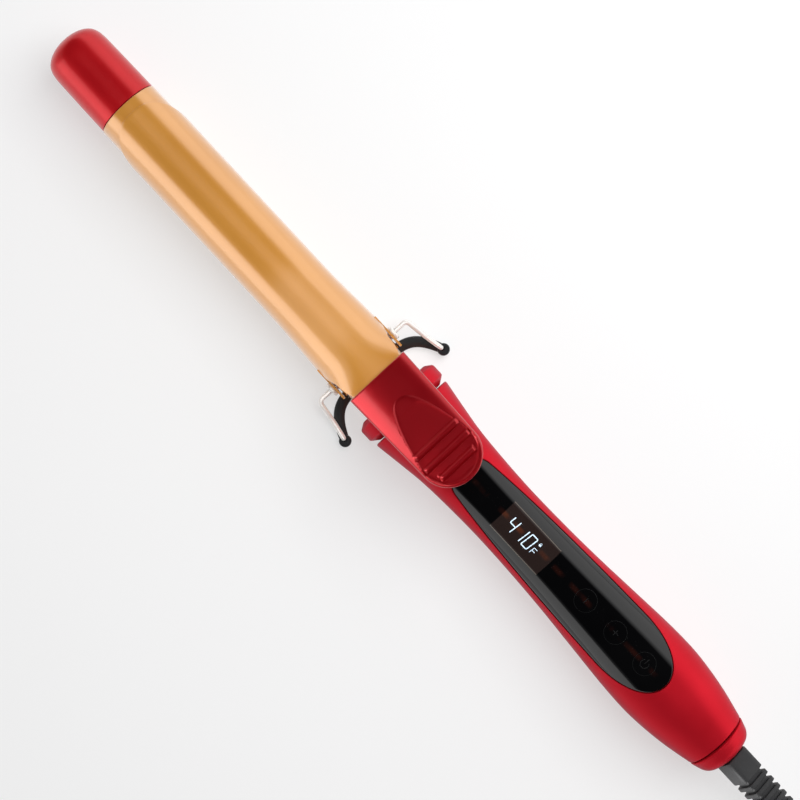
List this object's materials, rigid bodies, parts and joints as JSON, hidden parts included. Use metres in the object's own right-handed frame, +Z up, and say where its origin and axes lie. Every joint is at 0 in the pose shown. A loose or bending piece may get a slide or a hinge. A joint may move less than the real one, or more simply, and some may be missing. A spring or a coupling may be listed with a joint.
{
  "type": "curling iron",
  "caption": "Spring-clamp curling iron with a touch-control handle, display, folding wire stand, swivel cord and coiled mains lead.",
  "frame": {"origin": "on the surface that the iron lies on, under the middle of the iron with its strain relief and without its cord", "axes": "+X along the iron towards the cool tip, +Z up, +Y across"},
  "size_m": [0.5453, 0.0902, 0.0465],
  "materials": {
    "red_plastic": "satin soft-touch coating",
    "lever_plastic": "satin moulded",
    "panel_gloss": "gloss, smoked",
    "display": "gloss",
    "display_digits": "lit segments",
    "touch_marks": "printed behind the panel",
    "circuit_board": "solder mask",
    "copper": "plated",
    "screw_steel": "zinc plated",
    "spring_steel": "rolled",
    "gold_coating": "satin ceramic coating",
    "chrome": "polished",
    "aluminium": "extruded",
    "ceramic": "unglazed",
    "wire_sleeve": "woven glass sleeve",
    "stand_plastic": "satin moulded",
    "cord_rubber": "satin",
    "tie_plastic": "satin",
    "plug_plastic": "satin moulded",
    "plug_brass": "nickel-brass"
  },
  "bodies": {
    "root": {"handle_upper_shell": "red_plastic", "handle_lower_shell": "red_plastic", "rear_cap": "red_plastic", "front_collar": "red_plastic", "cool_tip": "red_plastic", "control_panel": "panel_gloss", "display_module": "display", "control_board": "circuit_board", "touch_sensor_minus": "copper", "touch_sensor_plus": "copper", "touch_sensor_power": "copper", "shell_screw_1": "screw_steel", "shell_screw_2": "screw_steel", "shell_screw_3": "screw_steel", "barrel": "gold_coating", "hinge_bracket": "gold_coating", "hinge_rivet_left": "chrome", "hinge_rivet_right": "chrome", "clamp_spring": "spring_steel", "spring_rivet": "screw_steel", "heater_element": "ceramic", "heat_spreader_upper": "aluminium", "heat_spreader_lower": "aluminium", "temperature_sensor": "ceramic", "thermal_fuse": "screw_steel", "barrel_insulator": "ceramic", "heater_lead_live": "wire_sleeve", "heater_lead_neutral": "wire_sleeve", "cord_lead": "cord_rubber", "cord_coil": "cord_rubber", "cord_tail": "cord_rubber", "coil_tie": "tie_plastic", "plug_body": "plug_plastic", "plug_blade_left": "plug_brass", "plug_blade_right": "plug_brass"},
    "clamp": {"clamp_plate": "gold_coating", "lever": "lever_plastic", "lever_rivet_front": "screw_steel", "lever_rivet_rear": "screw_steel"},
    "stand": {"stand_wire_left": "chrome", "stand_wire_right": "chrome", "stand_crossbar": "stand_plastic"},
    "swivel": {"swivel_ball": "cord_rubber", "strain_relief": "cord_rubber"}
  },
  "joints": [
    {"name": "clamp_hinge", "type": "hinge", "parent": "root", "child": "clamp", "pos_m": [0.0414, 0, 0.009], "axis": [0, -1, 0], "range_deg": [0, 8], "stiffness_Nm_per_rad": 0.6, "springref_deg": -20.05, "deforming": ["clamp_spring"]},
    {"name": "stand_hinge", "type": "hinge", "parent": "root", "child": "stand", "pos_m": [0.0414, 0, 0.009], "axis": [0, -1, 0], "range_deg": [0, 58]},
    {"name": "cord_swivel", "type": "hinge", "parent": "root", "child": "swivel", "pos_m": [-0.151, 0, 0.017], "axis": [1, 0, 0], "continuous": true}
  ]
}
